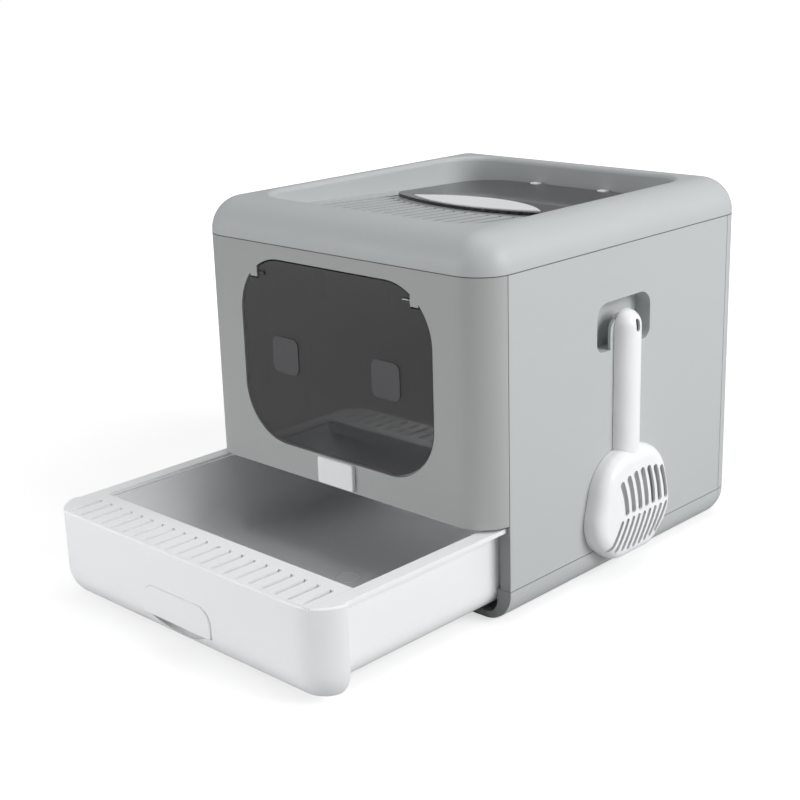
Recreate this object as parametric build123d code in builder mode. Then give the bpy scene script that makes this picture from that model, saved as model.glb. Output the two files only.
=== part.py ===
# Drawer litter box: a square cabin of moulded panels on a base tray, with a pull-out drawer,
# a swinging front door, a lid with a top flap, and a scoop hung on the right side.
# Millimetres. +Z is up, the front faces -Y, +X is to the right, and the origin lies on the
# floor at the centre of the closed box. The drawer is drawn as it stands, partly pulled out.

from build123d import *
import os

os.makedirs("parts", exist_ok=True)

# ---------------------------------------------------------------- driving dimensions
# Closed box, seen from outside
width = 400.0              # left to right
depth = 430.0              # front to back
corner_radius = 37.0       # upright corners, seen from above
skin = 3.2                 # wall of the moulded panels
seam = 0.5                 # shadow gap between neighbouring panels
base_seam = 34.5           # height of the joint between base and panels
lid_seam = 345.0           # height of the joint between panels and lid
lid_height = 38.1
front_seam = 32.0          # front face back to the upright joint
back_seam = 34.5           # back face in to the upright joint
flange = 3.0               # thickness of inner flanges
flange_reach = 8.0         # how far the stiffening flange stands in from the skin
flange_drop = 7.0          # lid joint down to the stiffening flange
rib = 2.2                  # thickness of inner ribs
rib_pitch = 88.0
side_rib_places = (-132.0, -66.0, 66.0, 132.0)
back_rib_count = 4

# Base tray
base_floor = 6.0           # thickness of the base under the drawer
base_side = 17.0           # width of the side channel's end face
base_edge_radius = 31.5    # big radius along the lower edges
base_inner_radius = 16.0
base_rib_count = 4
tongue = 2.4               # locating tongues that stand up inside the panels
tongue_height = 7.0
tongue_gap = 0.4

# Runners moulded into the side panels
runner_width = 13.0        # box section below the drawer's rim, measured from outside
runner_top = 94.7
runner_wall = 2.6

# Scoop pocket in the side panel
pocket_y = -4.5            # middle of the pocket
pocket_width = 89.0
pocket_top = 291.0
pocket_foot = 241.5
pocket_depth = 17.5
pocket_wall = 2.2
pocket_top_radius = 16.0
pocket_foot_radius = 10.5
tab_width = 45.0           # tab in the middle that the scoop hooks over
tab_top = 272.0
tab_radius = 12.0

# Front panel, door opening and door
panel_foot = 103.0         # lower edge of the front panel, above the drawer
opening_width = 270.0
opening_foot = 134.0
opening_height = 196.5
opening_radius = 60.0
frame_lip = 3.0            # lip moulded round the opening
frame_depth = 3.0          # how far the lip stands in behind the skin
door_gap = 2.0
door_thickness = 3.0
door_setback = 1.6         # door face behind the panel face
door_axis_z = 314.0
door_pin_radius = 1.5
pin_clearance = 0.06
lug_inner = 108.0          # inner face of the panel's hinge lug, from the middle
lug_width = 10.0
lug_height = 10.0
boss_width = 10.0          # door boss beside the lug
pad_width = 38.0           # thin matte press pads on the door
pad_height = 38.0
pad_radius = 8.0
pad_thickness = 0.6
pad_x = 71.5
pad_z = 230.5

# Door latch
latch_width = 51.0
latch_foot = 105.5
latch_height = 28.0
latch_thickness = 4.0
latch_radius = 3.0
latch_edge = 0.8           # bevel round the latch's face
latch_travel = 10.0
latch_gap = 0.3
stem_width = 16.0
stem_height = 9.0
stem_foot = 108.5
keeper_width = 30.0        # plate that holds the latch from inside
keeper_height = 13.0
keeper_foot = 107.0
keeper_thickness = 2.4

# Lid, well and exit hole
lid_gap = 0.3
lid_edge_radius = 36.0
lid_skin = 3.0
lid_rib_height = 5.5       # locating rib inside the panels
lid_rib = 2.4
well_half_width = 158.0
well_half_depth = 172.0
well_corner = 47.0
well_edge = 5.4            # rounding of the well's upper edge
well_floor_z = 358.5       # height of the well's floor on the middle line
well_slope = 0.05          # the floor falls towards the back
groove_pitch = 14.5
groove_width = 6.0
groove_depth = 1.9
groove_margin = 14.0
ledge_width = 7.0          # smooth border that the flap rests on
ledge_overlap = 8.0        # flap edge over the exit hole's edge

# Top flap
flap_axis_y = 165.0
flap_axis_z = 357.0
flap_slope = 0.031         # the flap rises towards the front
flap_thickness = 3.6
flap_half_width = 123.0
flap_side = 157.0          # axis to the end of the straight sides
flap_reach = 189.0         # axis to the tip of the curved front edge
flap_front_corner = 22.0
flap_back_corner = 45.0
flap_gap = 0.3
flap_pin_x = 48.0
flap_notch = 12.0
flap_notch_depth = 7.0
clip_width = 10.0
clip_half_depth = 4.5
clip_rise = 2.8
grip_half_width = 89.0     # leaf-shaped finger grip near the flap's front edge
grip_tip = 163.0
grip_front = 186.5
grip_back = 128.0
grip_inset = 1.0
grip_thickness = 2.0

# Drawer
drawer_open = 213.5        # how far out it stands
drawer_length = 405.0
drawer_top = 99.5
drawer_foot = 4.0
fascia_edge_radius = 33.0
fascia_top_edge = 1.5
rim_half_width = 195.0
rim_thickness = 3.0
rim_lip = 2.5
runner_gap = 0.3
tub_half_width = 180.0     # inside
tub_wall = 2.8
tub_foot = 10.0            # underside of the tub
tub_edge_radius = 27.0
tub_corner = 30.0
rim_back = 10.0            # rim flange behind the tub
tread_depth = 58.5         # front face back to the open tub
tread_thickness = 3.2
tread_half_width = 180.0
tread_ledge = 4.0
tread_gap = 0.3
tread_lip_height = 11.0
tread_edge_radius = 1.2
front_wall = 3.2
slot_count = 21
slot_pitch = 16.9
slot_width = 5.4
slot_length = 38.0
slot_setback = 5.5         # front face back to the slots
pull_width = 101.0
pull_top = 59.2
pull_foot = 29.0
pull_corner = 17.0
pull_proud = 1.2
pull_thickness = 3.4
pull_edge = 0.8            # bevel round the pull's face
recess_foot = 17.0
recess_depth = 14.0
recess_wall = 2.6
wing_wall = 3.0
wing_depth = 9.0            # hollow behind the drawer front's upright sides

# Scoop
scoop_y = -4.5             # middle of the scoop
scoop_gap = 0.4            # rim clear of the side panel
handle_width = 34.0
handle_top = 280.0
handle_foot = 118.0
scoop_wall = 2.4
bowl_rise = 20.0
bowl_edge_radius = 13.0
# pairs of circles the bowl's outline is drawn round: distance from the middle, height, radius
bowl_rounds = ((12.0, 90.0, 46.0), (24.0, 68.0, 40.0), (20.0, 52.0, 30.0))
hook_half_width = 9.0
hook_drop = 9.0
hook_plate = 2.6
hook_clearance = 0.4
hook_back_gap = 1.0
hang_slot_length = 13.0
hang_slot_width = 6.0
hang_slot_z = 265.0
slot_bar_z = 68.5          # cross bar between the two rows of slots
slot_bar = 4.5             # half its width plus half a slot
slot_bow = 1.5
upper_slots = 7
upper_slot_width = 6.8
upper_slot_pitch = 11.4
upper_slot_y = -22.0       # foot of the first slot
upper_slot_top = 111.5
upper_slot_fall = 0.7
upper_slot_lean = 9.0
lower_slots = 9
lower_slot_width = 4.6
lower_slot_pitch = 9.6
lower_slot_y = -30.0       # top of the first slot
lower_slot_foot = 34.0
lower_slot_rise = 0.3
lower_slot_lean = 19.0

# ---------------------------------------------------------------- places worked out from them
half_width = width / 2
front = -depth / 2
back = depth / 2
front_seam_y = front + front_seam
back_seam_y = back - back_seam
height = lid_seam + lid_gap + lid_height
drawer_front = front - drawer_open
drawer_back = drawer_front + drawer_length


def outline(inset=0.0, mode=Mode.ADD):
    """Plan of the box seen from above, moved in by inset."""
    RectangleRounded(width - 2 * inset, depth - 2 * inset, corner_radius - inset, mode=mode)


def span(x_from, x_to, y_from, y_to, mode=Mode.INTERSECT):
    """Rectangle between four sides, by default to keep only what lies inside it."""
    with Locations(((x_from + x_to) / 2, (y_from + y_to) / 2)):
        Rectangle(x_to - x_from, y_to - y_from, mode=mode)


def wall(low, high, outer, inner, x_range, y_range):
    """Stretch of a wall that follows the box's plan, between two heights."""
    with BuildPart() as stretch:
        with BuildSketch(Plane.XY.offset(low)):
            outline(outer)
            outline(inner, mode=Mode.SUBTRACT)
            span(*x_range, *y_range)
        extrude(amount=high - low)
    return stretch.part


def block(x_from, x_to, y_from, y_to, z_from, z_to, mode=Mode.ADD):
    """Plain block between six planes, used for flanges, ribs and clearance cuts."""
    with Locations(((x_from + x_to) / 2, (y_from + y_to) / 2, (z_from + z_to) / 2)):
        Box(x_to - x_from, y_to - y_from, z_to - z_from, mode=mode)


# ---------------------------------------------------------------- base tray
# One moulding: a skin with a big radius along its lower edges, cross ribs that cradle the
# drawer, a closed U-shaped end frame at the front and tongues that locate the panels.
base_front = front_seam_y + seam / 2
base_top = base_seam - seam / 2
cradle_run = back - base_side - base_front
rib_run = back - base_edge_radius + skin - base_front

with BuildPart() as base_tray:
    with BuildSketch(Plane.XY):
        outline()
    extrude(amount=base_top)
    fillet(base_tray.edges().group_by(Axis.Z)[0], radius=base_edge_radius)
    block(-half_width, half_width, front, base_front, 0, base_top, mode=Mode.SUBTRACT)
    with BuildSketch(Plane.XZ.offset(-base_front)):
        with Locations((0, (base_floor + base_top + width) / 2)):
            RectangleRounded(width - 2 * base_side, base_top - base_floor + width, base_inner_radius)
    extrude(amount=-cradle_run, mode=Mode.SUBTRACT)
    bay = rib_run / base_rib_count
    for index in range(base_rib_count):
        bay_start = base_front + index * bay + rib
        with BuildSketch(Plane.XZ.offset(-bay_start)):
            with Locations((0, skin + (base_top + width) / 2)):
                RectangleRounded(width - 2 * skin, base_top + width, base_edge_radius - skin)
        extrude(amount=-(bay - rib), mode=Mode.SUBTRACT)
    tongue_out = half_width - skin - tongue_gap
    for side in (-1, 1):
        inner_x, outer_x = sorted((side * (tongue_out - tongue), side * tongue_out))
        tongue_low = base_top - tongue_height
        block(inner_x, outer_x, base_front + runner_width, back_seam_y - runner_width,
              tongue_low, base_top + tongue_height)
    tongue_back = back - skin - tongue_gap
    block(-half_width / 2, half_width / 2, tongue_back - tongue, tongue_back,
          base_top - tongue_height, base_top + tongue_height)
base_tray.part.label = "base_tray"
export_step(base_tray.part, "parts/base_tray.step")

# ---------------------------------------------------------------- side panels
# A skin with a stiffening flange and ribs inside, a hollow runner below the drawer's rim,
# and a pocket with a tab in its mouth that the scoop hooks over.
panel_foot_z = base_seam + seam / 2
panel_front = front_seam_y + seam / 2
panel_back = back_seam_y - seam / 2
inner_face = half_width - skin
flange_top = lid_seam - flange_drop
flange_foot = flange_top - flange
side_rib_face = inner_face - flange_reach
pocket_height = pocket_top - pocket_foot
pocket_middle = (pocket_top + pocket_foot) / 2
runner_inner = half_width - runner_width


def pocket_shape(grow=0.0):
    """Square-cornered outline of the pocket, grown by the given amount."""
    with Locations((pocket_y, pocket_middle)):
        Rectangle(pocket_width + 2 * grow, pocket_height + 2 * grow)


with BuildPart() as right_side_panel:
    add(wall(panel_foot_z, lid_seam, 0, skin, (0, half_width), (panel_front, panel_back)))
    add(wall(flange_foot, flange_top, skin / 2, skin + flange_reach,
             (0, half_width), (panel_front, panel_back)))
    # hollow runner, closed at both ends
    block(runner_inner, inner_face + skin / 2, panel_front, panel_back, runner_top - flange, runner_top)
    block(runner_inner, runner_inner + runner_wall, panel_front, panel_back, panel_foot_z, runner_top)
    block(runner_inner, inner_face + skin / 2, panel_front, panel_front + flange, panel_foot_z, runner_top)
    block(runner_inner, inner_face + skin / 2, panel_back - flange, panel_back, panel_foot_z, runner_top)
    # upright flanges at the joints with the front and back panels
    block(side_rib_face, inner_face + skin / 2, panel_front, panel_front + flange, panel_foot, flange_top)
    block(side_rib_face, inner_face + skin / 2, panel_back - flange, panel_back, panel_foot, flange_top)
    # ribs between the flange and the runner
    for rib_y in side_rib_places:
        block(side_rib_face, inner_face + skin / 2, rib_y - rib / 2, rib_y + rib / 2, panel_foot, flange_top)
    # scoop pocket
    with BuildSketch(Plane.YZ.offset(half_width - pocket_depth - pocket_wall)) as pocket_box:
        pocket_shape(pocket_wall)
        fillet(pocket_box.vertices().group_by(Axis.Y)[0], radius=pocket_foot_radius + pocket_wall)
        fillet(pocket_box.vertices().group_by(Axis.Y)[-1], radius=pocket_top_radius + pocket_wall)
    extrude(amount=pocket_depth + pocket_wall - skin / 2)
    with BuildSketch(Plane.YZ.offset(half_width - pocket_depth)) as pocket_hole:
        pocket_shape()
        fillet(pocket_hole.vertices().group_by(Axis.Y)[0], radius=pocket_foot_radius)
        fillet(pocket_hole.vertices().group_by(Axis.Y)[-1], radius=pocket_top_radius)
    extrude(amount=pocket_depth, mode=Mode.SUBTRACT)
    with BuildSketch(Plane.YZ.offset(inner_face)) as tab:
        with Locations((pocket_y, (tab_top + pocket_foot - skin) / 2)):
            Rectangle(tab_width, tab_top - pocket_foot + skin)
        fillet(tab.vertices().group_by(Axis.Y)[-1], radius=tab_radius)
    extrude(amount=skin)
right_side_panel.part.label = "right_side_panel"
export_step(right_side_panel.part, "parts/right_side_panel.step")

with BuildPart() as left_side_panel:
    mirror(right_side_panel.part, about=Plane.YZ)
left_side_panel.part.label = "left_side_panel"
export_step(left_side_panel.part, "parts/left_side_panel.step")

# ---------------------------------------------------------------- front panel
# A skin that wraps both front corners, with a big rounded doorway, a lip round it that
# stiffens it, two hinge lugs for the door and a slot for the latch.
opening_middle = opening_foot + opening_height / 2
skin_back = front + skin
door_face = front + door_setback
door_axis_y = door_face + door_thickness / 2
lug_outer = lug_inner + lug_width
lug_foot = door_axis_z - lug_height / 2
stem_slot_top = stem_foot + stem_height + latch_travel


def doorway(grow=0.0, mode=Mode.ADD):
    """Rounded outline of the doorway, grown by the given amount."""
    with Locations((0, opening_middle)):
        RectangleRounded(
            opening_width + 2 * grow,
            opening_height + 2 * grow,
            opening_radius + grow,
            mode=mode,
        )


with BuildPart() as front_panel:
    add(wall(panel_foot, lid_seam, 0, skin,
             (-half_width, half_width), (front, front_seam_y - seam / 2)))
    add(wall(flange_foot, flange_top, skin / 2, skin + flange_reach,
             (-half_width, half_width), (front, front_seam_y - seam / 2)))
    add(wall(panel_foot, panel_foot + flange, skin / 2, skin + flange_reach,
             (-half_width, half_width), (front, front_seam_y - seam / 2)))
    for side in (-1, 1):
        near, far = sorted((side * side_rib_face, side * (inner_face + skin / 2)))
        block(near, far, front_seam_y - seam / 2 - flange, front_seam_y - seam / 2,
              panel_foot, flange_top)
    with BuildSketch(Plane.XZ.offset(-(skin_back - skin / 2))):
        doorway(frame_lip)
    extrude(amount=-(frame_depth + skin / 2))
    with BuildSketch(Plane.XZ.offset(-front)):
        doorway()
    extrude(amount=-(frame_depth + skin), mode=Mode.SUBTRACT)
    # hinge lugs with their bores
    for side in (-1, 1):
        near, far = sorted((side * lug_inner, side * lug_outer))
        block(near, far, front, front + 2 * (door_axis_y - front), lug_foot, lug_foot + 2 * lug_height)
    with Locations((0, door_axis_y, door_axis_z)):
        Cylinder(door_pin_radius + pin_clearance, 2 * lug_outer, rotation=(0, 90, 0), mode=Mode.SUBTRACT)
    # slot for the latch's stem
    block(-stem_width / 2 - latch_gap, stem_width / 2 + latch_gap, front, skin_back,
          stem_foot - latch_gap, stem_slot_top + latch_gap, mode=Mode.SUBTRACT)
front_panel.part.label = "front_panel"
export_step(front_panel.part, "parts/front_panel.step")

# ---------------------------------------------------------------- back panel
# Plain skin with the same flanges, and upright ribs on its inner side.
with BuildPart() as back_panel:
    add(wall(panel_foot_z, lid_seam, 0, skin,
             (-half_width, half_width), (back_seam_y + seam / 2, back)))
    add(wall(flange_foot, flange_top, skin / 2, skin + flange_reach,
             (-half_width, half_width), (back_seam_y + seam / 2, back)))
    for side in (-1, 1):
        near, far = sorted((side * side_rib_face, side * (inner_face + skin / 2)))
        block(near, far, back_seam_y + seam / 2, back_seam_y + seam / 2 + flange, panel_foot, flange_top)
    for index in range(back_rib_count):
        rib_x = (index - (back_rib_count - 1) / 2) * rib_pitch
        block(rib_x - rib / 2, rib_x + rib / 2, back - skin - flange_reach, back - skin / 2,
              panel_foot, flange_top)
back_panel.part.label = "back_panel"
export_step(back_panel.part, "parts/back_panel.step")

# ---------------------------------------------------------------- front door
# One clear tinted sheet, notched round the hinge lugs, with a boss beside each lug that
# carries the hinge pin.
notch_x = lug_inner - latch_gap
notch_z = lug_foot - door_gap
boss_inner = notch_x - boss_width
with BuildPart() as front_door:
    with BuildSketch(Plane.XZ.offset(-door_face)):
        doorway(-door_gap)
        for side in (-1, 1):
            near, far = sorted((side * notch_x, side * half_width))
            span(near, far, notch_z, height, mode=Mode.SUBTRACT)
    extrude(amount=-door_thickness)
    with Locations((0, door_axis_y, door_axis_z)):
        for side in (-1, 1):
            with Locations((side * (boss_inner + boss_width / 2), 0, 0)):
                Cylinder(door_thickness, boss_width, rotation=(0, 90, 0))
    with Locations((0, door_axis_y, door_axis_z)):
        for side in (-1, 1):
            with Locations((side * (boss_inner + boss_width / 2), 0, 0)):
                Cylinder(door_pin_radius, boss_width, rotation=(0, 90, 0), mode=Mode.SUBTRACT)
front_door.part.label = "front_door"
export_step(front_door.part, "parts/front_door.step")

# Two short clear pins, held in the door's bosses, that turn in the panel's lugs
pin_length = boss_width + lug_width
with BuildPart() as door_pins:
    for side in (-1, 1):
        with Locations((side * (boss_inner + pin_length / 2), door_axis_y, door_axis_z)):
            Cylinder(door_pin_radius, pin_length, rotation=(0, 90, 0))
door_pins.part.label = "door_pins"
export_step(door_pins.part, "parts/door_pins.step")

# Two thin matte press pads on the door's face
with BuildPart() as door_pads:
    with BuildSketch(Plane.XZ.offset(-door_face)):
        with Locations((-pad_x, pad_z), (pad_x, pad_z)):
            RectangleRounded(pad_width, pad_height, pad_radius)
    extrude(amount=pad_thickness)
door_pads.part.label = "door_pads"
export_step(door_pads.part, "parts/door_pads.step")

# ---------------------------------------------------------------- door latch
# A flat slider below the door. Pushed up, it stands in front of the door's lower edge.
latch_back = front - latch_gap
with BuildPart() as door_latch:
    with BuildSketch(Plane.XZ.offset(-latch_back)):
        with Locations((0, latch_foot + latch_height / 2)):
            RectangleRounded(latch_width, latch_height, latch_radius)
    extrude(amount=latch_thickness)
    chamfer(door_latch.faces().sort_by(Axis.Y)[0].edges(), length=latch_edge)
    block(-stem_width / 2, stem_width / 2, latch_back, skin_back + latch_gap,
          stem_foot, stem_foot + stem_height)
door_latch.part.label = "door_latch"
export_step(door_latch.part, "parts/door_latch.step")

# The plate behind the panel that keeps the slider in its slot
with BuildPart() as latch_keeper:
    with BuildSketch(Plane.XZ.offset(-(skin_back + latch_gap))):
        with Locations((0, keeper_foot + keeper_height / 2)):
            RectangleRounded(keeper_width, keeper_height, latch_radius)
    extrude(amount=-keeper_thickness)
latch_keeper.part.label = "latch_keeper"
export_step(latch_keeper.part, "parts/latch_keeper.step")

# ---------------------------------------------------------------- lid
# A shell with big rounded edges round a sunk, grooved step. The step's floor falls gently
# towards the back, and the exit hole in it has a smooth ledge that the flap rests on.
lid_foot = lid_seam + lid_gap
floor_tilt = Plane(origin=(0, 0, well_floor_z), x_dir=(1, 0, 0), z_dir=(0, well_slope, 1))
floor_under = floor_tilt.offset(-lid_skin)
flap_plane = Plane(origin=(0, flap_axis_y, flap_axis_z), x_dir=(1, 0, 0), z_dir=(0, flap_slope, 1))
flap_under = flap_plane.offset(-flap_thickness / 2)
ledge_plane = flap_under.offset(-flap_gap)


def flap_outline(inset=0.0):
    """Outline of the flap in its own plane, moved in by inset, with its axis along X."""
    with BuildSketch(mode=Mode.PRIVATE) as shape:
        with BuildLine() as edge:
            near_left = Line((-flap_half_width, 0), (-flap_half_width, -flap_side))
            ThreePointArc(near_left @ 1, (0, -flap_reach), (flap_half_width, -flap_side))
            Line((flap_half_width, -flap_side), (flap_half_width, 0))
            Line((flap_half_width, 0), near_left @ 0)
        make_face()
        fillet(shape.vertices().group_by(Axis.Y)[-1], radius=flap_back_corner)
        fillet(shape.vertices().group_by(Axis.Y)[0], radius=flap_front_corner)
        if inset:
            offset(amount=-inset)
    return shape.sketch


with BuildPart() as well_space:
    with BuildSketch(Plane.XY.offset(lid_foot)):
        RectangleRounded(2 * well_half_width, 2 * well_half_depth, well_corner)
    extrude(amount=2 * lid_height)
    split(bisect_by=floor_tilt, keep=Keep.TOP)

with BuildPart() as well_block:
    with BuildSketch(Plane.XY.offset(lid_foot)):
        RectangleRounded(2 * (well_half_width + lid_skin), 2 * (well_half_depth + lid_skin),
                         well_corner + lid_skin)
    extrude(amount=lid_height)
    split(bisect_by=floor_under, keep=Keep.TOP)

with BuildPart() as lid_cavity:
    with BuildSketch(Plane.XY.offset(lid_foot)):
        outline(lid_skin)
    extrude(amount=lid_height - lid_skin)
    fillet(lid_cavity.edges().group_by(Axis.Z)[-1], radius=lid_edge_radius - lid_skin)

with BuildPart() as ledge_block:
    with BuildSketch(ledge_plane):
        add(flap_outline(ledge_overlap - ledge_width))
    extrude(amount=-lid_height)
    split(bisect_by=floor_under, keep=Keep.TOP)

with BuildPart() as lid:
    with BuildSketch(Plane.XY.offset(lid_foot)):
        outline()
    extrude(amount=lid_height)
    fillet(lid.edges().group_by(Axis.Z)[-1], radius=lid_edge_radius)
    add(lid_cavity.part, mode=Mode.SUBTRACT)
    add(wall(lid_foot - lid_rib_height, lid_foot + lid_rib,
             skin + tongue_gap, skin + tongue_gap + lid_rib,
             (-half_width, half_width), (front, back)))
    add(wall(lid_foot, lid_foot + lid_rib, skin / 2, skin + tongue_gap + lid_rib,
             (-half_width, half_width), (front, back)))
    add(well_block.part)
    add(well_space.part, mode=Mode.SUBTRACT)
    well_rim = lid.edges().group_by(Axis.Z)[-1].filter_by(
        lambda edge: abs(edge.center().X) < well_half_width + lid_skin
        and abs(edge.center().Y) < well_half_depth + lid_skin
    )
    fillet(well_rim, radius=well_edge)
    # grooves that let litter run back, stopping short of the ledge
    with BuildSketch(floor_tilt):
        groove_count = 2 * int((well_half_width - groove_margin) / groove_pitch) + 1
        with GridLocations(groove_pitch, 1, groove_count, 1):
            Rectangle(groove_width, 2 * (well_half_depth - groove_margin))
        with Locations((0, flap_axis_y)):
            add(flap_outline(ledge_overlap - ledge_width - groove_width), mode=Mode.SUBTRACT)
    extrude(amount=-groove_depth, mode=Mode.SUBTRACT)
    # smooth ledge round the exit hole, and the hole itself
    add(ledge_block.part)
    with BuildSketch(flap_plane):
        add(flap_outline(ledge_overlap))
    extrude(amount=lid_height, both=True, mode=Mode.SUBTRACT)
lid.part.label = "lid"
export_step(lid.part, "parts/lid.step")

# ---------------------------------------------------------------- top flap
# A clear tinted sheet. Its back edge is rounded round the hinge axis, and two notches in it
# bare the axle for the clips. A leaf-shaped grip is let into its front.
with BuildPart() as top_flap:
    with BuildSketch(flap_under):
        add(flap_outline())
    extrude(amount=flap_thickness)
    with Locations((0, flap_axis_y, flap_axis_z)):
        for side in (-1, 1):
            with Locations((side * flap_pin_x, 0, 0)):
                Box(flap_notch, 2 * flap_notch_depth, 2 * flap_notch_depth, mode=Mode.SUBTRACT)
        Cylinder(flap_thickness / 2, 2 * (flap_half_width - flap_back_corner), rotation=(0, 90, 0))
    with BuildSketch(flap_plane.offset(flap_thickness / 2 - grip_inset)) as leaf:
        with BuildLine():
            lower = ThreePointArc(
                (-grip_half_width, -grip_tip), (0, -grip_front), (grip_half_width, -grip_tip)
            )
            ThreePointArc(lower @ 1, (0, -grip_back), lower @ 0)
        make_face()
    extrude(amount=flap_thickness, mode=Mode.SUBTRACT)
top_flap.part.label = "top_flap"
export_step(top_flap.part, "parts/top_flap.step")

with BuildPart() as flap_grip:
    add(leaf.sketch)
    extrude(amount=grip_thickness, dir=flap_plane.z_dir)
flap_grip.part.label = "flap_grip"
export_step(flap_grip.part, "parts/flap_grip.step")

# White clips, fixed to the ledge, that hold the flap's axle
with BuildPart() as flap_clips:
    clip_foot = flap_axis_z - flap_thickness
    for side in (-1, 1):
        block(side * flap_pin_x - clip_width / 2, side * flap_pin_x + clip_width / 2,
              flap_axis_y - clip_half_depth, flap_axis_y + clip_half_depth,
              clip_foot, flap_axis_z + clip_rise)
    fillet(flap_clips.edges().filter_by(Axis.X).group_by(Axis.Z)[-1], radius=clip_rise / 2)
    split(bisect_by=ledge_plane, keep=Keep.TOP)
    with Locations((0, flap_axis_y, flap_axis_z)):
        Cylinder(flap_thickness / 2 + pin_clearance, 2 * (flap_pin_x + clip_width),
                 rotation=(0, 90, 0), mode=Mode.SUBTRACT)
flap_clips.part.label = "flap_clips"
export_step(flap_clips.part, "parts/flap_clips.step")

# ---------------------------------------------------------------- drawer
# One deep tub whose rim rides on the runners. Its front is a full-width fascia with the
# same big edge radii as the box, and a finger recess.
fascia_back = drawer_front + front_seam - seam / 2
tread_back = drawer_front + tread_depth
tread_foot = drawer_top - tread_thickness
tub_back = drawer_back - rim_back
tub_front = drawer_front + front_wall + tread_ledge
rim_foot = runner_top + runner_gap
pull_back = drawer_front - pull_proud + pull_thickness
down = Plane(origin=(0, 0, drawer_top), x_dir=(1, 0, 0), z_dir=(0, 0, -1))


def tub_plan(y_from, y_to, grow=0.0):
    """Plan of the tub on a plane that looks down."""
    with BuildSketch(down, mode=Mode.PRIVATE) as shape:
        with Locations((0, -(y_from + y_to) / 2)):
            RectangleRounded(2 * (tub_half_width + grow), y_to - y_from + 2 * grow, tub_corner + grow)
    return shape.sketch


def pull_outline(grow=0.0):
    """Outline of the pull plate on the drawer's face."""
    with Locations((0, (pull_top + pull_foot) / 2)):
        Rectangle(pull_width + 2 * grow, pull_top - pull_foot + 2 * grow)


with BuildPart() as tub_space:
    add(tub_plan(tub_front, tub_back))
    extrude(amount=drawer_top - tub_foot - tub_wall, dir=(0, 0, -1))
    fillet(tub_space.edges().group_by(Axis.Z)[0], radius=tub_edge_radius - tub_wall)

with BuildPart() as tub_block:
    add(tub_plan(tub_front, tub_back, tub_wall))
    extrude(amount=drawer_top - tub_foot, dir=(0, 0, -1))
    fillet(tub_block.edges().group_by(Axis.Z)[0], radius=tub_edge_radius)

# front end of a block with the box's own plan and lower edge radius
with BuildPart() as fascia_block:
    with BuildSketch(Plane.XY.offset(drawer_foot)):
        with Locations((0, drawer_front - front)):
            outline()
    extrude(amount=drawer_top - drawer_foot)
    fillet(fascia_block.edges().group_by(Axis.Z)[0], radius=fascia_edge_radius)
    chamfer(fascia_block.edges().group_by(Axis.Z)[-1], length=fascia_top_edge)
    block(-half_width, half_width, fascia_back, drawer_front + depth, 0, drawer_top, mode=Mode.SUBTRACT)

# housing of the finger recess
with BuildPart() as recess_block:
    add(fascia_block.part)
    block(-pull_width / 2 - recess_wall, pull_width / 2 + recess_wall, drawer_front,
          drawer_front + recess_depth + recess_wall, drawer_foot, pull_top + recess_wall,
          mode=Mode.INTERSECT)

with BuildPart() as drawer_tub:
    add(fascia_block.part)
    for side in (-1, 1):
        near, far = sorted((side * (tub_half_width + wing_wall + tub_wall), side * (half_width - wing_wall)))
        block(near, far, fascia_back - wing_depth, fascia_back,
              drawer_foot + fascia_edge_radius, drawer_top - wing_wall, mode=Mode.SUBTRACT)
    add(tub_block.part)
    # rim with its turned-down lip
    with BuildSketch(Plane.XY.offset(rim_foot)) as rim:
        with Locations((0, (fascia_back - tub_corner + drawer_back) / 2)):
            RectangleRounded(2 * rim_half_width, drawer_back - fascia_back + tub_corner, tub_corner)
        span(-half_width, half_width, fascia_back - wing_wall, drawer_back)
    extrude(amount=drawer_top - rim_foot)
    with BuildSketch(Plane.XY.offset(rim_foot)):
        add(rim.sketch)
        offset(amount=-rim_lip)
        span(-half_width, half_width, fascia_back, drawer_back)
    extrude(amount=drawer_top - rim_thickness - rim_foot, mode=Mode.SUBTRACT)
    add(tub_space.part, mode=Mode.SUBTRACT)
    add(recess_block.part)
    # strips at both sides that carry the tread
    tread_side = tread_half_width - tread_ledge
    for side in (-1, 1):
        near, far = sorted((side * tread_side, side * (tub_half_width + tub_wall / 2)))
        block(near, far, tub_front - tread_ledge / 2, tread_back, tread_foot - tread_ledge, drawer_top)
    block(-tread_half_width, tread_half_width, drawer_front + front_wall, tread_back,
          tread_foot, drawer_top, mode=Mode.SUBTRACT)
    # finger recess with a curved lower edge, and the seat of the pull plate
    with BuildSketch(Plane.XZ.offset(-drawer_front)) as recess:
        with BuildLine():
            recess_half = pull_width / 2 - tread_ledge
            roof = Line((-recess_half, pull_top - tread_ledge), (recess_half, pull_top - tread_ledge))
            right_side = Line(roof @ 1, (recess_half, pull_foot + recess_wall))
            sill = ThreePointArc(
                right_side @ 1, (0, recess_foot), (-recess_half, pull_foot + recess_wall)
            )
            Line(sill @ 1, roof @ 0)
        make_face()
        fillet(recess.vertices().group_by(Axis.Y)[-1], radius=pull_corner - tread_ledge)
    extrude(amount=-recess_depth, mode=Mode.SUBTRACT)
    with BuildSketch(Plane.XZ.offset(-drawer_front)) as seat:
        pull_outline(tread_gap)
        fillet(seat.vertices().group_by(Axis.Y)[-1], radius=pull_corner + tread_gap)
    extrude(amount=-(pull_back - drawer_front), mode=Mode.SUBTRACT)
drawer_tub.part.label = "drawer_tub"
export_step(drawer_tub.part, "parts/drawer_tub.step")

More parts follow.
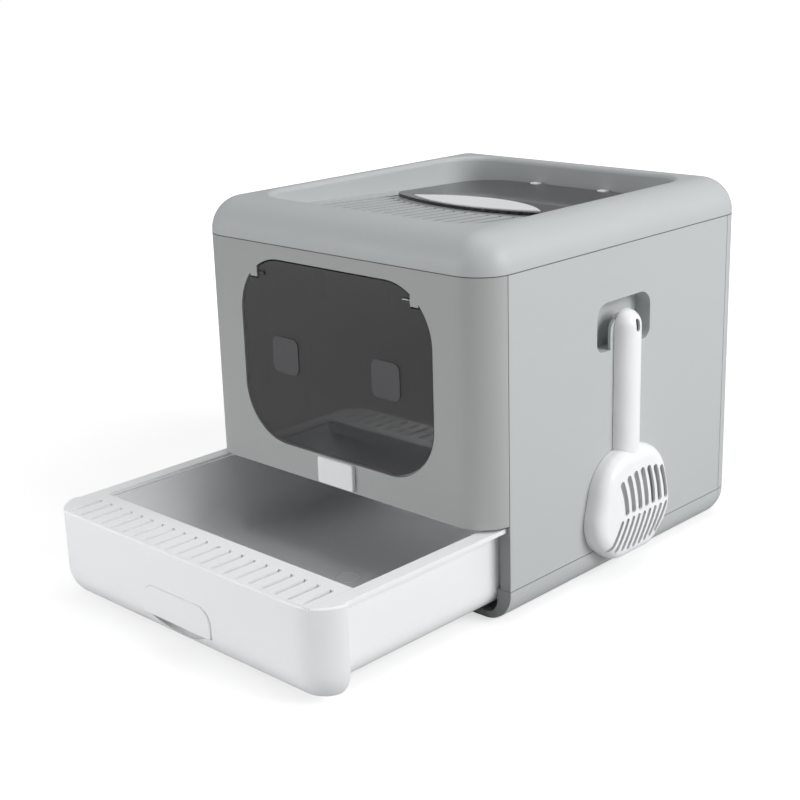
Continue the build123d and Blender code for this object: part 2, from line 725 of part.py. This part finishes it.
# Slotted tread that drops into the front of the drawer and catches litter from paws
with BuildPart() as drawer_tread:
    tread_front = drawer_front + front_wall + tread_gap
    block(-tread_half_width + tread_gap, tread_half_width - tread_gap, tread_front, tread_back,
          tread_foot, drawer_top)
    block(-tread_side + tread_gap, tread_side - tread_gap, tread_back - tread_thickness, tread_back,
          tread_foot - tread_lip_height, tread_foot)
    fillet(drawer_tread.edges().filter_by(Axis.X).group_by(Axis.Z)[-1].sort_by(Axis.Y)[-1],
           radius=tread_edge_radius)
    with BuildSketch(Plane.XY.offset(drawer_top)):
        with Locations((0, drawer_front + slot_setback + slot_length / 2)):
            with GridLocations(slot_pitch, 1, slot_count, 1):
                Rectangle(slot_width, slot_length)
    extrude(amount=-tread_thickness, mode=Mode.SUBTRACT)
drawer_tread.part.label = "drawer_tread"
export_step(drawer_tread.part, "parts/drawer_tread.step")

# Plate over the finger recess, held at its top and sides
with BuildPart() as drawer_pull:
    with BuildSketch(Plane.XZ.offset(-pull_back)) as plate:
        pull_outline()
        fillet(plate.vertices().group_by(Axis.Y)[-1], radius=pull_corner)
        fillet(plate.vertices().group_by(Axis.Y)[0], radius=tread_ledge)
    extrude(amount=pull_thickness)
    chamfer(drawer_pull.faces().sort_by(Axis.Y)[0].edges(), length=pull_edge)
drawer_pull.part.label = "drawer_pull"
export_step(drawer_pull.part, "parts/drawer_pull.step")

# ---------------------------------------------------------------- scoop
# A deep bowl with two rows of curved slots and a hollow half-round handle. Its hook goes
# over the pocket's tab.
scoop_back = half_width + scoop_gap
handle_radius = handle_width / 2
hook_back = inner_face - hook_back_gap
hook_foot = tab_top + hook_clearance
slot_start = slot_bar_z + slot_bar
slot_end = slot_bar_z - slot_bar


def bowl_outline(inset=0.0):
    """Outline of the bowl: a hull round three pairs of circles, moved in by inset."""
    with BuildSketch(Plane.YZ.offset(scoop_back), mode=Mode.PRIVATE) as shape:
        with BuildSketch(mode=Mode.PRIVATE) as rounds:
            for circle_y, circle_z, circle_radius in bowl_rounds:
                with Locations((scoop_y - circle_y, circle_z), (scoop_y + circle_y, circle_z)):
                    Circle(circle_radius - inset)
        make_hull(rounds.edges())
    return shape.sketch


def bowl_solid(inset=0.0):
    """Solid of the bowl with its big rounded edge, moved in by inset."""
    with BuildPart() as bowl:
        add(bowl_outline(inset))
        extrude(amount=bowl_rise - inset, dir=(1, 0, 0))
        fillet(bowl.faces().sort_by(Axis.X)[-1].edges(), radius=bowl_edge_radius - inset)
    return bowl.part


def handle_solid(inset=0.0):
    """Half-round bar with ball ends, flat against the scoop's back plane, moved in by inset."""
    radius = handle_radius - inset
    low = handle_foot + handle_radius
    high = handle_top - handle_radius
    with BuildPart() as bar:
        with Locations((scoop_back, scoop_y, (low + high) / 2)):
            Cylinder(radius, high - low)
        for end in (low, high):
            with Locations((scoop_back, scoop_y, end)):
                Sphere(radius)
        block(scoop_back - handle_width, scoop_back, scoop_y - handle_width, scoop_y + handle_width,
              0, height, mode=Mode.SUBTRACT)
    return bar.part


def curved_slot(low, high, slot_width):
    """Slot between two points of the bowl's plan, bowed sideways."""
    middle = ((low[0] + high[0]) / 2 + slot_bow, (low[1] + high[1]) / 2)
    SlotArc(Edge.make_three_point_arc(low, middle, high), slot_width)


with BuildPart() as hook_root:
    add(handle_solid())
    block(scoop_back, half_width + handle_width, scoop_y - hook_half_width, scoop_y + hook_half_width,
          hook_foot, hook_foot + hook_plate, mode=Mode.INTERSECT)

with BuildPart() as scoop_space:
    add(bowl_solid(scoop_wall))
    add(handle_solid(scoop_wall))

with BuildPart() as upper_cut:
    with BuildSketch(Plane.YZ.offset(scoop_back)):
        for index in range(upper_slots):
            step = index - (upper_slots - 1) / 2
            foot_y = upper_slot_y + index * upper_slot_pitch
            slot_top = upper_slot_top - upper_slot_fall * step**2
            curved_slot((foot_y, slot_start), (foot_y - upper_slot_lean, slot_top), upper_slot_width)
    extrude(amount=handle_width)

with BuildPart() as lower_cut:
    with BuildSketch(Plane.YZ.offset(scoop_back)):
        for index in range(lower_slots):
            step = index - (lower_slots - 1) / 2
            top_y = lower_slot_y + index * lower_slot_pitch
            slot_foot = lower_slot_foot + lower_slot_rise * step**2
            curved_slot((top_y - lower_slot_lean, slot_foot), (top_y, slot_end), lower_slot_width)
    extrude(amount=handle_width)

with BuildPart() as scoop:
    add(bowl_solid())
    add(handle_solid())
    add(scoop_space.part, mode=Mode.SUBTRACT)
    # hook: a plate through the pocket's mouth, turned down behind the tab
    add(hook_root.part)
    block(hook_back - hook_plate, scoop_back + scoop_wall,
          scoop_y - hook_half_width, scoop_y + hook_half_width, hook_foot, hook_foot + hook_plate)
    block(hook_back - hook_plate, hook_back, scoop_y - hook_half_width, scoop_y + hook_half_width,
          hook_foot - hook_drop, hook_foot + hook_plate)
    # hanging slot near the handle's end
    with BuildSketch(Plane.YZ.offset(scoop_back)):
        with Locations((scoop_y, hang_slot_z)):
            SlotOverall(hang_slot_length, hang_slot_width, rotation=90)
    extrude(amount=handle_width, mode=Mode.SUBTRACT)
    add(upper_cut.part, mode=Mode.SUBTRACT)
    add(lower_cut.part, mode=Mode.SUBTRACT)
scoop.part.label = "scoop"
export_step(scoop.part, "parts/scoop.step")
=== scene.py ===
# Drawer litter box: an enclosed cabin of moulded panels on a base tray, with a pull-out drawer,
# a tinted swinging door, a lid with a tinted top flap, and a scoop hung on its side.
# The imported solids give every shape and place. This script gives them their finishes, adds two
# small moulded marks, and sets up the studio.
from math import cos, pi, radians, sin

import bmesh
import bpy
from mathutils import Matrix, Vector


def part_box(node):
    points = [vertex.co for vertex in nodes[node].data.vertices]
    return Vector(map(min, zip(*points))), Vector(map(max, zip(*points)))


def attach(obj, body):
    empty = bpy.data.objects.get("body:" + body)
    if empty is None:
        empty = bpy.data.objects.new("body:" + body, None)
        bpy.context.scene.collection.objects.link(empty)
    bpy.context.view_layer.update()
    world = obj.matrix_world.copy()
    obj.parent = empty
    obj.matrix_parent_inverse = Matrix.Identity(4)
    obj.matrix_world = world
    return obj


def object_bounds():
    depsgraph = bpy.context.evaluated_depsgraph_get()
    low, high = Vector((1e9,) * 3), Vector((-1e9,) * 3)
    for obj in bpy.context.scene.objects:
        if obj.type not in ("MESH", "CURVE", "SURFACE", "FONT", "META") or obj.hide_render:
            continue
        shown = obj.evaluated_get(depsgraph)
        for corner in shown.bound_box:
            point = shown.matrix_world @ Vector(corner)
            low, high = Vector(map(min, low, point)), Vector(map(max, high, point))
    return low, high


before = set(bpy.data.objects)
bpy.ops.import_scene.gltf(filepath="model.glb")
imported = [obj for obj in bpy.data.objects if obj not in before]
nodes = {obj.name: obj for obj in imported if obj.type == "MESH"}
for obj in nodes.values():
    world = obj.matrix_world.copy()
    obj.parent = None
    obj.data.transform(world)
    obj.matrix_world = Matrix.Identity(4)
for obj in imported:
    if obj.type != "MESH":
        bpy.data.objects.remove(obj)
cad_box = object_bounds()


# ---------------------------------------------------------------- base tray
# The tray is one injection moulding in grey polypropylene. Its outside is finely spark-eroded
# in the tool, so it has an even matte grain. Tongues on its upper edge locate the panels.
grey_body = (0.505, 0.527, 0.532, 1.0)
grey_body_deep = (0.480, 0.502, 0.507, 1.0)
moulded_ior = 1.49
grain_strength, grain_depth = 0.35, 0.00006
speck_scale, speck_range = 260.0, (0.62, 0.78)
dust_colour = (0.62, 0.60, 0.57, 1.0)
flow_scale, flow_range = 16.0, (0.3, 0.7)


def feed(graph, socket, value):
    """Links another node's output into a socket, or sets the socket to a number or colour."""
    if isinstance(value, bpy.types.NodeSocket):
        graph.links.new(value, socket)
    else:
        socket.default_value = value


def noise(graph, place, scale, detail=2.0, roughness=0.5):
    """Noise over a piece's own coordinates."""
    texture = graph.nodes.new("ShaderNodeTexNoise")
    texture.inputs["Detail"].default_value = detail
    texture.inputs["Roughness"].default_value = roughness
    feed(graph, texture.inputs["Vector"], place.outputs["Object"])
    feed(graph, texture.inputs["Scale"], scale)
    return texture.outputs["Fac"]


def mix_colours(graph, factor, first, second):
    """Colour that turns from the first to the second as the factor rises."""
    mix = graph.nodes.new("ShaderNodeMix")
    mix.data_type = "RGBA"
    feed(graph, mix.inputs["Factor"], factor)
    feed(graph, mix.inputs["A"], first)
    feed(graph, mix.inputs["B"], second)
    return mix.outputs["Result"]


def work_out(graph, operation, *values, clamp=False):
    """Result of one Math node on outputs and numbers."""
    step = graph.nodes.new("ShaderNodeMath")
    step.operation = operation
    step.use_clamp = clamp
    for socket, value in zip(step.inputs, values):
        feed(graph, socket, value)
    return step.outputs["Value"]


def remap(graph, value, old, new=(0.0, 1.0), smooth=False):
    """Carries a value from an old range into a new one, and holds it there."""
    ramp = graph.nodes.new("ShaderNodeMapRange")
    if smooth:
        ramp.interpolation_type = "SMOOTHSTEP"
    feed(graph, ramp.inputs["Value"], value)
    for label, limit in (("From Min", old[0]), ("From Max", old[1]), ("To Min", new[0]), ("To Max", new[1])):
        feed(graph, ramp.inputs[label], limit)
    return ramp.outputs["Result"]


def split_place(graph, place):
    """The separate X, Y and Z of a piece's own coordinates."""
    parts = graph.nodes.new("ShaderNodeSeparateXYZ")
    feed(graph, parts.inputs["Vector"], place.outputs["Object"])
    return parts.outputs


def plastic_group(name):
    """Shader group for moulded plastic: slow colour drift, fine grain, uneven gloss and dust."""
    graph = bpy.data.node_groups.new(name, "ShaderNodeTree")
    for label, kind, start in (
        ("Colour", "NodeSocketColor", grey_body),
        ("Deep Colour", "NodeSocketColor", grey_body_deep),
        ("Drift Scale", "NodeSocketFloat", 7.0),
        ("Grain Scale", "NodeSocketFloat", 1400.0),
        ("Rough Low", "NodeSocketFloat", 0.4),
        ("Rough High", "NodeSocketFloat", 0.5),
        ("Dust", "NodeSocketFloat", 0.0),
    ):
        socket = graph.interface.new_socket(name=label, in_out="INPUT", socket_type=kind)
        socket.default_value = start
    for label, kind in (("Colour", "NodeSocketColor"), ("Roughness", "NodeSocketFloat"),
                        ("Height", "NodeSocketFloat")):
        graph.interface.new_socket(name=label, in_out="OUTPUT", socket_type=kind)
    given = graph.nodes.new("NodeGroupInput").outputs
    result = graph.nodes.new("NodeGroupOutput").inputs
    place = graph.nodes.new("ShaderNodeTexCoord")

    drift = noise(graph, place, given["Drift Scale"], detail=3.0)
    body = mix_colours(graph, drift, given["Colour"], given["Deep Colour"])

    # settled dust: soft specks on faces that look up
    geometry = graph.nodes.new("ShaderNodeNewGeometry")
    facing = graph.nodes.new("ShaderNodeSeparateXYZ")
    feed(graph, facing.inputs["Vector"], geometry.outputs["Normal"])
    specks = remap(graph, noise(graph, place, speck_scale, detail=4.0), speck_range)
    upward = work_out(graph, "MULTIPLY", facing.outputs["Z"], specks, clamp=True)
    amount = work_out(graph, "MULTIPLY", upward, given["Dust"])
    feed(graph, result["Colour"], mix_colours(graph, amount, body, dust_colour))

    # gloss varies slowly, as the plastic flowed into the mould
    flow = noise(graph, place, flow_scale, detail=5.0)
    gloss = remap(graph, flow, flow_range, (given["Rough Low"], given["Rough High"]))
    feed(graph, result["Roughness"], gloss)
    feed(graph, result["Height"], noise(graph, place, given["Grain Scale"]))
    return graph


moulded = plastic_group("moulded_plastic")

# The joints between the grey panels: the axis that crosses each, its place on it, and its painted shade
side_low, side_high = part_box("right_side_panel")
seam_half_width = 0.0009
seams = (
    ("Base Seam", "Z", side_low[2], 0.6),
    ("Lid Seam", "Z", side_high[2], 0.9),
    ("Front Seam", "Y", side_low[1], 0.5),
    ("Back Seam", "Y", side_high[1], 0.5),
)
# colour of the painted shade in the joints and in the lid's grooves
painted_shade_colour = (0.060, 0.063, 0.064, 1.0)


def make_seam_shade_group(name):
    """Shader group for painted shade: a dark line along each joint between the grey panels, where the gap is
    in shadow.
    """
    graph = bpy.data.node_groups.new(name, "ShaderNodeTree")
    starts = [(label, start) for label, axis, start, weight in seams]
    for label, start in starts + [("Width", seam_half_width)]:
        socket = graph.interface.new_socket(name=label, in_out="INPUT", socket_type="NodeSocketFloat")
        socket.default_value = start
    graph.interface.new_socket(name="Mask", in_out="OUTPUT", socket_type="NodeSocketFloat")
    given = graph.nodes.new("NodeGroupInput").outputs
    result = graph.nodes.new("NodeGroupOutput").inputs
    parts = split_place(graph, graph.nodes.new("ShaderNodeTexCoord"))
    lines = []
    for label, axis, start, weight in seams:
        away = work_out(graph, "SUBTRACT", parts[axis], given[label])
        distance = work_out(graph, "ABSOLUTE", away)
        lines.append(remap(graph, distance, (0.0, given["Width"]), (weight, 0.0), smooth=True))
    mask = lines[0]
    for line in lines[1:]:
        mask = work_out(graph, "MAXIMUM", mask, line)
    feed(graph, result["Mask"], mask)
    return graph


painted_seam_shade = make_seam_shade_group("painted_seam_shade")


def add_painted_shade(material, mask):
    """Mixes the painted shade colour into a moulded material where the mask says."""
    graph = material.node_tree
    base = graph.nodes["Principled BSDF"].inputs["Base Color"]
    clean = base.links[0].from_socket
    feed(graph, base, mix_colours(graph, mask, clean, painted_shade_colour))


def paint_seam_shade(material, uprights=True):
    """Adds the painted shade along the joints to a grey moulding's material, with or without the upright
    joints.
    """
    group = material.node_tree.nodes.new("ShaderNodeGroup")
    group.node_tree = painted_seam_shade
    if not uprights:
        beyond_the_box = cad_box[1][1] + 1.0
        for label in ("Front Seam", "Back Seam"):
            group.inputs[label].default_value = beyond_the_box
    add_painted_shade(material, group.outputs["Mask"])


def moulded_material(name, colour, deep, drift=7.0, grain=1400.0, rough=(0.42, 0.52), dust=0.0):
    """Material that puts the moulded plastic group on a Principled surface."""
    material = bpy.data.materials.new(name)
    material.use_nodes = True
    graph = material.node_tree
    surface = graph.nodes["Principled BSDF"].inputs
    surface["IOR"].default_value = moulded_ior
    group = graph.nodes.new("ShaderNodeGroup")
    group.node_tree = moulded
    for label, value in (("Colour", colour), ("Deep Colour", deep), ("Drift Scale", drift),
                         ("Grain Scale", grain), ("Rough Low", rough[0]), ("Rough High", rough[1]),
                         ("Dust", dust)):
        group.inputs[label].default_value = value
    bump = graph.nodes.new("ShaderNodeBump")
    bump.inputs["Strength"].default_value = grain_strength
    bump.inputs["Distance"].default_value = grain_depth
    feed(graph, bump.inputs["Height"], group.outputs["Height"])
    feed(graph, surface["Base Color"], group.outputs["Colour"])
    feed(graph, surface["Roughness"], group.outputs["Roughness"])
    feed(graph, surface["Normal"], bump.outputs["Normal"])
    return material


def finish_node(name, material):
    """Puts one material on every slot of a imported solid."""
    node = nodes[name]
    if not node.data.materials:
        node.data.materials.append(material)
    for slot in node.material_slots:
        slot.link = "DATA"
        slot.material = material


grey_matte = moulded_material("grey_matte_plastic", grey_body, grey_body_deep, dust=0.05)
# painted shade darkens the joints, and all of the tray's front end, which lies on the front joint
paint_seam_shade(grey_matte)
finish_node("base_tray", grey_matte)


# ---------------------------------------------------------------- side and back panels
# Large thin mouldings in the same grey plastic. Each side has a pocket for the scoop's hook.
# Their faces are a touch duller than the lid's, so they look softer.
panel_grey = moulded_material("grey_panel_plastic", grey_body, grey_body_deep, drift=4.0, rough=(0.46, 0.56))
# painted shade darkens the joints between the panels
paint_seam_shade(panel_grey)
for panel in ("right_side_panel", "left_side_panel", "back_panel"):
    finish_node(panel, panel_grey)


# ---------------------------------------------------------------- front panel
# The front wraps both corners and carries the doorway. It is the panel that hands and paws
# touch, so its gloss is slightly uneven.
# The front's grey is darker than the other panels' grey: painted shade, as the front gets less light.
front_shaded_body = (0.425, 0.438, 0.436, 1.0)
front_shaded_body_deep = (0.402, 0.415, 0.413, 1.0)
front_shaded_grey = moulded_material("shaded_grey_front_plastic", front_shaded_body, front_shaded_body_deep, drift=5.0,
                              rough=(0.40, 0.52))
# painted shade darkens the front panel's joints
paint_seam_shade(front_shaded_grey)
finish_node("front_panel", front_shaded_grey)


# ---------------------------------------------------------------- front door, its pins and pads
# The door is a sheet of smoke-tinted clear plastic, polished on both sides, with a fine haze of
# handling marks. Clear pins at its upper corners carry it. Two thin frosted pads show where to push.
clear_ior = 1.52
coat_ior, coat_roughness = 1.6, 0.02
haze_scale, haze_range = 22.0, (0.40, 0.75)
smudged_roughness = (0.03, 0.10)
deep_tint_share = 0.86


def tinted_material(name, tint, transmission=0.9, coat=0.4):
    """Polished, tinted, see-through plastic with faint smudges in its gloss."""
    material = bpy.data.materials.new(name)
    material.use_nodes = True
    graph = material.node_tree
    surface = graph.nodes["Principled BSDF"].inputs
    for label, value in (("Transmission Weight", transmission), ("IOR", clear_ior), ("Coat Weight", coat),
                         ("Coat IOR", coat_ior), ("Coat Roughness", coat_roughness)):
        surface[label].default_value = value
    place = graph.nodes.new("ShaderNodeTexCoord")
    haze = noise(graph, place, haze_scale, detail=6.0, roughness=0.62)
    feed(graph, surface["Roughness"], remap(graph, haze, haze_range, smudged_roughness))
    deep_tint = tuple(deep_tint_share * part for part in tint[:3]) + (1.0,)
    feed(graph, surface["Base Color"], mix_colours(graph, haze, tint, deep_tint))
    return material


smoked = tinted_material("smoked_clear_plastic", (0.120, 0.117, 0.124, 1.0))
finish_node("front_door", smoked)
clear = tinted_material("clear_pin_plastic", (0.82, 0.84, 0.86, 1.0), transmission=0.6)
finish_node("door_pins", clear)
frosted = moulded_material("frosted_pad_plastic", (0.080, 0.080, 0.084, 1.0), (0.071, 0.071, 0.075, 1.0),
                           drift=40.0, grain=2600.0, rough=(0.45, 0.60))
finish_node("door_pads", frosted)


# ---------------------------------------------------------------- latch and keeper
# A white slider below the door and the plate behind the panel that holds it. Both are moulded
# in the drawer's white plastic with a satin face. A small raised dot marks the slider for a thumb.
white_body = (0.895, 0.905, 0.915, 1.0)
white_body_deep = (0.870, 0.880, 0.892, 1.0)
dot_radius, dot_flatness, dot_inset = 0.0021, 0.22, 0.0001
latch_white = moulded_material("white_latch_plastic", white_body, white_body_deep, drift=30.0,
                               grain=2200.0, rough=(0.30, 0.38))
finish_node("door_latch", latch_white)
finish_node("latch_keeper", latch_white)


def add_mark(name, mesh, material, body):
    """Makes a small moulded mark of a mesh, smooth-shaded, and lets it ride on its body."""
    mesh.materials.append(material)
    mesh.polygons.foreach_set("use_smooth", [True] * len(mesh.polygons))
    piece = bpy.data.objects.new(name, mesh)
    bpy.context.scene.collection.objects.link(piece)
    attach(piece, body)


latch_low, latch_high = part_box("door_latch")
dot_mesh = bpy.data.meshes.new("latch_thumb_dot")
dot_shape = bmesh.new()
bmesh.ops.create_uvsphere(dot_shape, u_segments=32, v_segments=12, radius=dot_radius)
bmesh.ops.scale(dot_shape, vec=(1.0, dot_flatness, 1.0), verts=dot_shape.verts)
bmesh.ops.translate(dot_shape, vec=(0.0, latch_low[1] + dot_inset, (latch_low[2] + latch_high[2]) / 2),
                    verts=dot_shape.verts)
dot_shape.to_mesh(dot_mesh)
dot_shape.free()
add_mark("latch_thumb_dot", dot_mesh, latch_white, "latch")


# ---------------------------------------------------------------- lid
# The lid is the grey plastic again, with a grooved step sunk into it that knocks litter off paws.
# Dust and fine litter settle on the step, and painted shade darkens the bottoms of its grooves.
step_floor_z = 0.3585
step_slope = 0.05
step_half_size = {"X": 0.158, "Y": 0.172}
# depths below the step's floor where the painted shade in the grooves starts, is full and stops, and how
# dark it gets
groove_shade_from, groove_shade_full, groove_shade_end = 0.0003, 0.0019, 0.0024
groove_shade_strength = 0.75
lid_grey = moulded_material("grey_lid_plastic", grey_body, grey_body_deep, drift=5.0,
                            rough=(0.42, 0.54), dust=0.08)
# painted shade darkens only the lid's joint line, not the upright joints
paint_seam_shade(lid_grey, uprights=False)


def paint_groove_shade(material):
    """Painted shade: darkens what lies a little below the step's sloping floor, the bottoms of its grooves.
    """
    graph = material.node_tree
    parts = split_place(graph, graph.nodes.new("ShaderNodeTexCoord"))
    level = work_out(graph, "MULTIPLY_ADD", parts["Y"], step_slope, parts["Z"])
    depth = work_out(graph, "SUBTRACT", step_floor_z, level)
    mask = work_out(graph, "LESS_THAN", depth, groove_shade_end)
    for axis, limit in step_half_size.items():
        inside = work_out(graph, "LESS_THAN", work_out(graph, "ABSOLUTE", parts[axis]), limit)
        mask = work_out(graph, "MULTIPLY", mask, inside)
    sunk = remap(graph, depth, (groove_shade_from, groove_shade_full), (0.0, groove_shade_strength))
    add_painted_shade(material, work_out(graph, "MULTIPLY", sunk, mask))


# painted shade in the bottoms of the step's grooves
paint_groove_shade(lid_grey)
finish_node("lid", lid_grey)


# ---------------------------------------------------------------- top flap, its clips and white leaf
# The flap is tinted like the door. White clips hold its rolled back edge. The white leaf-shaped piece
# at its front is a painted reflection: it stands in for the white backdrop mirrored in the flap.
smoked_flap = tinted_material("smoked_flap_plastic", (0.100, 0.098, 0.103, 1.0), coat=0.0)
finish_node("top_flap", smoked_flap)
finish_node("flap_clips", latch_white)
# painted reflection: the white leaf stands in for the backdrop mirrored in the glossy flap
finish_node("flap_grip", latch_white)


# ---------------------------------------------------------------- drawer, tread and pull
# The drawer is one deep white moulding with a satin outside. The slotted tread drops into its
# front end, and the pull plate covers the finger recess.
drawer_white = moulded_material("white_drawer_plastic", white_body, white_body_deep, drift=4.0,
                                grain=1700.0, rough=(0.30, 0.40), dust=0.02)
finish_node("drawer_tub", drawer_white)
finish_node("drawer_pull", drawer_white)

# raised ring on the tub's floor, left by the tool's round insert
tub_floor_z = 0.0128
ring_centre = (0.0175, -0.225)
ring_radius, ring_wire, ring_rise = 0.0125, 0.0012, 0.0005
ring_steps, wire_steps = 72, 10
ring_points = []
ring_faces = []
for turn in range(ring_steps):
    around = 2 * pi * turn / ring_steps
    following = (turn + 1) % ring_steps
    for step in range(wire_steps):
        section = 2 * pi * step / wire_steps
        reach = ring_radius + ring_wire * cos(section)
        ring_points.append((ring_centre[0] + reach * cos(around), ring_centre[1] + reach * sin(around),
                            tub_floor_z + ring_rise * sin(section)))
        beside = (step + 1) % wire_steps
        ring_faces.append((turn * wire_steps + step, following * wire_steps + step,
                           following * wire_steps + beside, turn * wire_steps + beside))
ring_mesh = bpy.data.meshes.new("tub_floor_ring")
ring_mesh.from_pydata(ring_points, [], ring_faces)
add_mark("tub_floor_ring", ring_mesh, drawer_white, "drawer")

tread_white = moulded_material("white_tread_plastic", white_body, white_body_deep, drift=12.0,
                               grain=1700.0, rough=(0.32, 0.44), dust=0.03)
finish_node("drawer_tread", tread_white)


# ---------------------------------------------------------------- scoop
# The glossiest of the white mouldings, with a hollow handle polished by the hand. Its hook goes
# over the tab in the side panel's pocket.
scoop_white = moulded_material("white_scoop_plastic", white_body, white_body_deep, drift=14.0,
                               grain=2000.0, rough=(0.29, 0.36))
finish_node("scoop", scoop_white)


# ---------------------------------------------------------------- studio
# A pale seamless floor, a wide soft key from the right, a weaker front fill, light from above and a
# narrow strip for the open drawer. The background is white for the camera and through clear plastic,
# with no more light on the object.
floor_half = 14.0
paper_tone, paper_tone_pale = (0.58, 0.58, 0.585, 1.0), (0.60, 0.60, 0.60, 1.0)
paper_roughness, paper_fibre_scale = 0.9, 3.0
whiten_reach, floor_glow = (0.5, 1.5), (0.58, 1.0)
soft_sky_strength, white_sky_strength = 0.26, 1.0
white = (1.0, 1.0, 1.0, 1.0)
floor_mesh = bpy.data.meshes.new("studio_floor")
floor_mesh.from_pydata([(-floor_half, -floor_half, 0.0), (floor_half, -floor_half, 0.0),
                        (floor_half, floor_half, 0.0), (-floor_half, floor_half, 0.0)], [], [(0, 1, 2, 3)])
studio_floor = bpy.data.objects.new("studio_floor", floor_mesh)
bpy.context.scene.collection.objects.link(studio_floor)


def seen_directly(graph):
    """One for the camera's rays and for rays through clear plastic, and zero for all others."""
    rays = graph.nodes.new("ShaderNodeLightPath").outputs
    return work_out(graph, "MAXIMUM", rays["Is Camera Ray"], rays["Is Transmission Ray"])


def mix_shaders(graph, factor, first, second):
    """Shader that turns from the first to the second as the factor rises."""
    mix = graph.nodes.new("ShaderNodeMixShader")
    for socket, value in zip(mix.inputs, (factor, first, second)):
        feed(graph, socket, value)
    return mix.outputs["Shader"]


def plain_light(graph, kind, strength):
    """White Emission or Background shader of one strength, a number or an output."""
    light = graph.nodes.new(kind)
    light.inputs["Color"].default_value = white
    feed(graph, light.inputs["Strength"], strength)
    return light.outputs[0]


paper = bpy.data.materials.new("pale_floor")
paper.use_nodes = True
graph = paper.node_tree
paper_surface = graph.nodes["Principled BSDF"]
paper_surface.inputs["Roughness"].default_value = paper_roughness
paper_surface.inputs["Specular IOR Level"].default_value = 0.0
paper_place = graph.nodes.new("ShaderNodeTexCoord")
fibre = noise(graph, paper_place, paper_fibre_scale)
feed(graph, paper_surface.inputs["Base Color"], mix_colours(graph, fibre, paper_tone, paper_tone_pale))
from_middle = graph.nodes.new("ShaderNodeVectorMath")
from_middle.operation = "LENGTH"
feed(graph, from_middle.inputs[0], paper_place.outputs["Object"])
whiten = remap(graph, from_middle.outputs["Value"], whiten_reach, floor_glow)
glow = mix_shaders(graph, seen_directly(graph), plain_light(graph, "ShaderNodeEmission", 0.0),
                   plain_light(graph, "ShaderNodeEmission", whiten))
both = graph.nodes.new("ShaderNodeAddShader")
feed(graph, both.inputs[0], paper_surface.outputs["BSDF"])
feed(graph, both.inputs[1], glow)
feed(graph, graph.nodes["Material Output"].inputs["Surface"], both.outputs["Shader"])
floor_mesh.materials.append(paper)

world = bpy.data.worlds.new("studio_world")
bpy.context.scene.world = world
world.use_nodes = True
graph = world.node_tree
graph.nodes.clear()
sky = mix_shaders(graph, seen_directly(graph),
                  plain_light(graph, "ShaderNodeBackground", soft_sky_strength),
                  plain_light(graph, "ShaderNodeBackground", white_sky_strength))
feed(graph, graph.nodes.new("ShaderNodeOutputWorld").inputs["Surface"], sky)


def soft_box(name, place, aim, size, watts):
    """Square area light at place that shines towards aim."""
    lamp = bpy.data.lights.new(name, "AREA")
    lamp.shape = "SQUARE"
    lamp.size = size
    lamp.energy = watts
    holder = bpy.data.objects.new(name, lamp)
    bpy.context.scene.collection.objects.link(holder)
    holder.location = place
    holder.rotation_euler = (Vector(aim) - Vector(place)).to_track_quat("-Z", "Y").to_euler()
    return holder


soft_box("key_right", place=(2.7, 0.75, 1.5), aim=(0.0, 0.0, 0.18), size=1.6, watts=68.0)
soft_box("top_soft", place=(0.2, 0.2, 2.8), aim=(0.0, 0.0, 0.2), size=2.0, watts=24.0)
soft_box("front_fill", place=(-1.2, -2.3, 0.75), aim=(0.0, -0.35, 0.1), size=1.2, watts=22.0)
drawer_strip = soft_box("drawer_strip", place=(-0.3, -1.3, 0.42), aim=(-0.03, -0.43, 0.04),
                        size=0.8, watts=0.17)
drawer_strip.data.shape = "RECTANGLE"
drawer_strip.data.size_y = 0.15
drawer_strip.data.spread = radians(36.0)
drawer_strip.visible_camera = False

# camera at the photographed viewpoint
eye = Vector((1.03663, -1.18369, 0.63596))
yaw, pitch, roll = radians(44.3), radians(17.28), radians(-1.75)
view_back = Vector((sin(yaw) * cos(pitch), -cos(yaw) * cos(pitch), sin(pitch)))
level_right = Vector((cos(yaw), sin(yaw), 0.0))
level_up = view_back.cross(level_right)
cam_right = cos(roll) * level_right + sin(roll) * level_up
cam_up = -sin(roll) * level_right + cos(roll) * level_up
camera = bpy.data.objects.new("camera", bpy.data.cameras.new("camera"))
bpy.context.scene.collection.objects.link(camera)
camera.data.sensor_width = 36.0
camera.data.lens = 66.81
camera.data.clip_end = 60.0
camera.matrix_world = Matrix((
    (cam_right.x, cam_up.x, view_back.x, eye.x),
    (cam_right.y, cam_up.y, view_back.y, eye.y),
    (cam_right.z, cam_up.z, view_back.z, eye.z),
    (0.0, 0.0, 0.0, 1.0),
))
bpy.context.scene.camera = camera
bpy.context.scene.view_settings.view_transform = "Standard"
